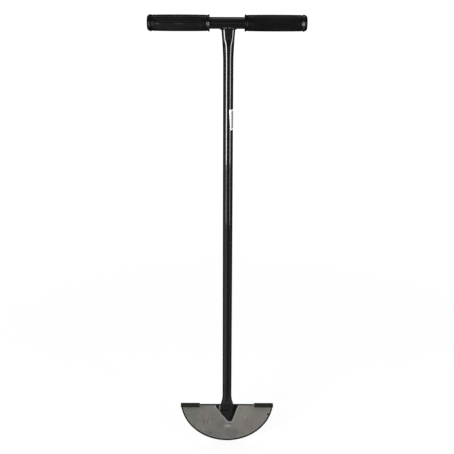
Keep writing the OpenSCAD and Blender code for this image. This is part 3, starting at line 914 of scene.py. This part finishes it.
def rubber(name, shift, matt_ring, shiny_ring, shine):
    """Black rubber with a fine mould grain, lint, light streaks on the front, patches that hands have
    polished, a matt end and one shiny ring. Rings are given by their distance from the handle's middle."""
    material, bench = new_finish(name)
    x, y, _ = bench.axes()
    outwards = abs(x - HANDLE_MIDDLE)
    matt = bench.fall(abs(outwards - matt_ring), *MATT_REACH)
    matt = matt.either(bench.rise(outwards, MATT_END, MATT_END + RING_WIDTH / 2))
    shiny = bench.fall(abs(outwards - shiny_ring), *SHINY_REACH)
    worn = bench.spots(limits=(0.4, 0.7), scale=28, detail=4, shift=shift).either(shiny)
    mould = bench.grain(scale=1800, detail=2, shift=shift)
    lint = bench.spots(limits=(0.68, 0.8), scale=1100, detail=1, shift=shift)
    # Three light streaks, placed one by one along the front of the left grip.
    dust = marks(bench, LIGHT_STREAKS) * bench.fall(y, *STREAK_DEPTH)
    colour = bench.tint(worn, RUBBER_DARK, RUBBER_WORN)
    bench.dress({
        "Base Color": bench.tint((lint * 0.08).either(dust * 0.5), colour, RUBBER_PALE),
        "Roughness": 0.42 - worn * 0.1 + mould * 0.08,
        "Specular IOR Level": 0.14,
        "Coat Weight": (0.16 + worn * 0.06 + shiny * shine) * (1 - matt * 0.85),
        "Coat IOR": 2.4,
        "Coat Roughness": 0.1,
        "Normal": bench.bump(strength=0.2, distance=0.08 * MM, height=mould),
    })
    return material


left_rubber = rubber("left_grip_rubber", shift=(0, 0, 0), matt_ring=OUTER_MIDDLE,
                     shiny_ring=INNER_MIDDLE, shine=LEFT_SHINE)
right_rubber = rubber("right_grip_rubber", shift=(5, 2, 1), matt_ring=INNER_MIDDLE,
                      shiny_ring=OUTER_MIDDLE - RING_WIDTH / 4, shine=RIGHT_SHINE)
left_sleeve.data.materials.append(left_rubber)
right_sleeve.data.materials.append(right_rubber)
print("rubber on", left_sleeve.name, right_sleeve.name)

# %% [markdown]
# ## Paper
# The label is warm white paper, with fibres that cloud it slightly and a little grime along its rim, and
# between two turns round its side it is grey. A picture could give all of it. Noise and four straight
# limits in Object coordinates need no picture and stay sharp.

# %% Label paper
PAPER_WHITE, PAPER_GRIME = (0.95, 0.95, 0.94, 1), (0.8, 0.795, 0.77, 1)
LABEL_SIDE_GREY = (0.19, 0.19, 0.186, 1)
GREY_START, GREY_END, GREY_FADE = math.radians(36), math.radians(158), 0.06
GREY_TOP, LABEL_RIM = (0.42, 0.44), (0.44, 0.5)


def label_paper(name):
    """Clouded paper, grey between two turns and two heights, and with a rim of grime."""
    material, bench = new_finish(name)
    fibre = bench.grain(scale=900, detail=5, stretch=(1, 1, 0.3))
    x, y, z = bench.axes()
    height = abs(z - LABEL_MIDDLE) * (1 / LABEL_LENGTH)
    turn = bench.node("ShaderNodeMath", {"operation": "ARCTAN2"}, {0: x, 1: y * -1})
    # The label is greyer between two turns round the side.
    greyer = bench.fall(height, *GREY_TOP) * bench.rise(turn, GREY_START, GREY_START + GREY_FADE)
    greyer = greyer * bench.fall(turn, GREY_END, GREY_END + GREY_FADE)
    paper = bench.tint(fibre * 0.3 + bench.rise(height, *LABEL_RIM) * 0.3, PAPER_WHITE, PAPER_GRIME)
    bench.dress({
        "Base Color": bench.tint(greyer * (0.8 + fibre * 0.2), paper, LABEL_SIDE_GREY),
        "Roughness": 0.6 + fibre * 0.2,
        "Normal": bench.bump(strength=0.3, distance=0.06 * MM, height=fibre),
    })
    return material


label_sheet.data.materials.append(label_paper("label_paper"))
print("paper on", label_sheet.name)

# %% [markdown]
# ## Paint left on the blade
# The whole blade was once painted and its faces were then sanded bare, so black is left where the
# sander could not reach: on the turned treads, along the top edge and in two small wedges beside the
# tube. Along the arc, over the ground bevel, a black band is painted shade of the cutting edge. The
# wedges' outer sides carry on the lines of the tube's point, so one distance past those lines serves for
# both. Masks could be painted by hand on a UV map. Straight lines in Object coordinates need no map and
# stay sharp.

# %% Masks of paint, in millimetres
BLADE_RADIUS, EDGE_SHADE, EDGE_SHADE_LOW = 105, 3.6, 1.7
TOP_EDGE = BLADE_TOP / MM
TOP_PAINT = (TOP_EDGE - 3.0, TOP_EDGE - 2.2)
TREAD_INNER, TREAD_START = (61.2, 61.4), (98.6, 99.1)
TREAD_FRONT = (0.2, 0.8)
BARE_STRIP_LEFT, BARE_STRIP_RIGHT = (-18.3, -17.5), (-15.4, -15.0)
WEDGE_RIM, WEDGE_DEPTH = (-0.6, 0.6), (1.5, 2.0)
BEVEL_RIM, BEVEL_DEPTH, BEVEL_TOP = (BLADE_RADIUS, BLADE_RADIUS + 0.5), (2.7, 3.0), (TOP_EDGE - 1, TOP_EDGE)


def paint_left(bench, x, y, z, outside):
    """Masks of the black paint that the sander left and of its part on the treads, with a painted shade
    along
    the arc: the treads by limits in x, y and z, the top edge by height, the wedges by the distance past the
    point and the shade over the bevel by the distance from the arc's centre, all but the treads with a
    ragged rim."""
    ragged = (bench.grain(scale=160, detail=5) - 0.5) * 2
    treads = bench.rise(abs(x), *TREAD_INNER) * bench.rise(z, *TREAD_START)
    treads = treads.either(bench.fall(y, *TREAD_FRONT))
    top_edge = bench.rise(z + ragged * 0.5, *TOP_PAINT)
    bare_strip = bench.rise(x, *BARE_STRIP_LEFT) * bench.fall(x, *BARE_STRIP_RIGHT)
    wedge = bench.fall(outside + ragged * 0.6, *WEDGE_RIM) * bench.fall(y, *WEDGE_DEPTH)
    wedge = wedge * (1 - bare_strip)
    # Painted shade: a dark band along the arc of the cutting edge, wider at the bottom.
    from_centre = (x * x + (z - BLADE_RADIUS) * (z - BLADE_RADIUS)) ** 0.5
    band = EDGE_SHADE + bench.fall(z, 0, TOP_EDGE) * EDGE_SHADE_LOW
    edge_shade = bench.rise(from_centre + band + ragged * 0.3, *BEVEL_RIM)
    edge_shade = edge_shade * bench.fall(y, *BEVEL_DEPTH) * bench.fall(z, *BEVEL_TOP)
    return treads.either(top_edge).either(wedge).either(edge_shade), treads


# The black band along the arc is painted shade.
print("paint on the treads from", TREAD_START[0], "mm up and on the outer", EDGE_SHADE, "mm of the arc")

# %% [markdown]
# ## Bare steel
# Sanded sheet steel is a dull mid grey that drifts between a warm and a cool cast, with upright smears,
# fine scratches, a few dark pits and rubbed bright places, and a nick near the right end of the edge.
# Towards the right it is painted lighter, a painted light on that side.
# Shoes have worn the paint of the treads to a dull olive, but their bends stay black as painted shade. A
# photograph of the sheet could be used as a texture. Layers of noise and a few marks with a place need
# no picture and stay sharp.

# %% Places of marks on the blade
DARK_MARKS = (
    (-52.9, 52.0, 3.0, 8.0, 0.3), (-43.9, 51.2, 2.4, 3.0, 0.6), (-41.6, 58.6, 1.7, 2.6, 0.4),
    (-34.9, 59.1, 1.7, 2.6, 0.4), (-37.8, 22.2, 4.2, 3.2, 0.5), (-44.3, 19.4, 2.4, 2.2, 0.5),
    (-75.1, 44.3, 2.2, 2.4, 0.5), (-61.0, 31.2, 2.6, 3.0, 0.35), (-23.0, 33.7, 3.2, 2.2, 0.35),
    (44.5, 60.8, 2.6, 3.8, 0.45), (30.4, 88.0, 2.4, 4.4, 0.4), (57.4, 33.9, 3.0, 2.6, 0.3),
    (6.0, 47.5, 2.6, 2.2, 0.5),
)
BRIGHT_MARKS = (
    (-39.1, 51.4, 2.2, 4.0, 0.5), (-58.7, 77.5, 3.6, 3.6, 0.3), (-46.8, 67.0, 2.6, 13.0, 0.2),
    (41.8, 64.1, 3.2, 5.0, 0.7), (2.0, 41.0, 11.0, 4.6, 0.8),
)
GREENISH = (
    (-83.0, 76.0, 22.0, 28.0, 0.7), (-26.0, 76.0, 17.0, 24.0, 0.4), (22.0, 19.0, 16.0, 18.0, 0.5),
    (81.0, 85.0, 14.0, 9.0, 0.15), (-66.0, 50.0, 18.0, 20.0, 0.5),
)
PINKISH = ((-50.0, 71.0, 14.0, 30.0, 0.6), (52.0, 45.0, 30.0, 32.0, 0.6), (73.0, 76.0, 18.0, 20.0, 0.5))
PALE = ((36.0, 80.0, 24.0, 26.0, 0.8), (-60.0, 38.0, 16.0, 16.0, 0.4), (29.0, 56.0, 14.0, 26.0, 0.6))
COOL = ((-30.0, 19.0, 28.0, 14.0, 0.45), (8.5, 22.0, 18.0, 22.0, 0.6), (-13.0, 47.0, 15.0, 16.0, 0.6))
NICK = ((94.0, 72.0, 2.9, 4.2, 1.0),)
print("marks:", len(DARK_MARKS + BRIGHT_MARKS + NICK), "patches:", len(GREENISH + PINKISH + PALE + COOL))

# %% Colour of the steel
STEEL_GREENER, STEEL_WARMER = (0.178, 0.178, 0.158, 1), (0.196, 0.182, 0.168, 1)
STEEL_LIGHT, STEEL_SMEAR = (0.222, 0.216, 0.2, 1), (0.135, 0.133, 0.126, 1)
STEEL_SCRATCH, STEEL_PAINTED_LIGHT = (0.27, 0.266, 0.25, 1), (0.255, 0.244, 0.227, 1)
STEEL_PIT, STEEL_RUBBED = (0.045, 0.044, 0.04, 1), (0.34, 0.335, 0.315, 1)
STEEL_NICK = (0.012, 0.0115, 0.01, 1)
PATCHES = (
    (GREENISH, (0.173, 0.179, 0.151, 1)), (PINKISH, (0.207, 0.18, 0.169, 1)),
    (PALE, (0.245, 0.23, 0.203, 1)), (COOL, (0.145, 0.143, 0.137, 1)),
)
PAINTED_LIGHT_RIGHT = (-70, 60)
SHEET_FRONT = (1.6, 2.2)
RUBBED_START, RUBBED_END = (0.2, 1.0), (2.2, 4.2)


def steel_colour(bench, x, y, outside, patches, smear, scratch):
    """Steel tinted layer by layer: its cast, light patches, smears, scratches, painted light towards the
    right, broad patches, specks, the nick, and on the front alone the line rubbed beside the point and
    the marks."""
    cast = bench.spots(limits=(0.38, 0.62), scale=20, detail=3, shift=(0.3, 0, 0.1))
    speck = bench.spots(limits=(0.67, 0.75), scale=330, detail=2, shift=(2, 2, 9))
    broken = 0.5 + 0.5 * bench.spots(limits=(0.4, 0.6), scale=240, detail=4, shift=(1, 3, 5))
    rubbed = bench.rise(outside, *RUBBED_START) * bench.fall(outside + (patches - 0.5) * 2.5, *RUBBED_END)
    front = bench.fall(y, *SHEET_FRONT)
    steel = bench.tint(cast, STEEL_GREENER, STEEL_WARMER)
    steel = bench.tint(patches * 0.3, steel, STEEL_LIGHT)
    steel = bench.tint(smear * 0.4, steel, STEEL_SMEAR)
    steel = bench.tint(scratch * 0.2, steel, STEEL_SCRATCH)
    # Painted light: the steel is lightened towards the right, as if more light fell on that side.
    steel = bench.tint(bench.rise(x, *PAINTED_LIGHT_RIGHT) * 0.55, steel, STEEL_PAINTED_LIGHT)
    for table, colour in PATCHES:
        steel = bench.tint(marks(bench, table, scale=70, wobble=2.0), steel, colour)
    steel = bench.tint((speck * 0.45).either(marks(bench, DARK_MARKS) * front), steel, STEEL_PIT)
    bright = (rubbed * broken * 0.95).either(marks(bench, BRIGHT_MARKS)) * front
    steel = bench.tint(bright, steel, STEEL_RUBBED)
    return bench.tint(marks(bench, NICK), steel, STEEL_NICK)


print("broad patches in", len(PATCHES), "colours")

# %% Blade steel
PAINT_BLACK = (0.0025, 0.0025, 0.0023, 1)
TREAD_OLIVE, TREAD_WORN = (0.0168, 0.0174, 0.0124, 1), (0.022, 0.0224, 0.0168, 1)
TREAD_BEND_SHADE = (-5.0, -3.0)


def bare_steel(name):
    """Sanded sheet steel with the paint that the sander left."""
    material, bench = new_finish(name)
    x, y, z = bench.millimetres()
    outside = past_point(x, z)
    paint, treads = paint_left(bench, x, y, z, outside)
    patches = bench.spots(limits=(0.36, 0.66), scale=45, detail=5, shift=(2, 0, 1))
    smear = bench.spots(limits=(0.46, 0.72), scale=75, detail=5, stretch=(1, 1, 0.2), shift=(1, 4, 2))
    scratch = bench.grain(scale=420, detail=3, stretch=(1, 1, 0.06), shift=(6, 1, 3))
    worn = bench.spots(limits=(0.5, 0.75), scale=240, detail=4, shift=(4, 8, 1))
    # Painted shade: each tread's bend stays black, and only the lip ahead of it turns olive.
    trodden = treads * bench.fall(y, *TREAD_BEND_SHADE)
    coat = bench.tint(trodden, PAINT_BLACK, TREAD_OLIVE)
    coat = bench.tint(worn * 0.5 * trodden, coat, TREAD_WORN)
    steel = steel_colour(bench, x, y, outside, patches, smear, scratch)
    dull = 0.5 + patches * 0.08 + smear * 0.08 + scratch * 0.08
    height = scratch * 0.5 + bench.grain(scale=700, detail=3) * 0.5
    bench.dress({
        "Base Color": bench.tint(paint, steel, coat),
        "Metallic": (1 - paint) * 0.3,
        "Roughness": dull * (1 - paint) + (0.45 + worn * 0.15) * paint,
        "Specular IOR Level": 0.25,
        "Coat Weight": paint * 0.15,
        "Coat Roughness": 0.25,
        "Normal": bench.bump(strength=0.4, distance=0.1 * MM, height=height),
    })
    return material


frame["nodes"]["blade"].material_slots[0].material = bare_steel("blade_steel")
print("steel on blade")
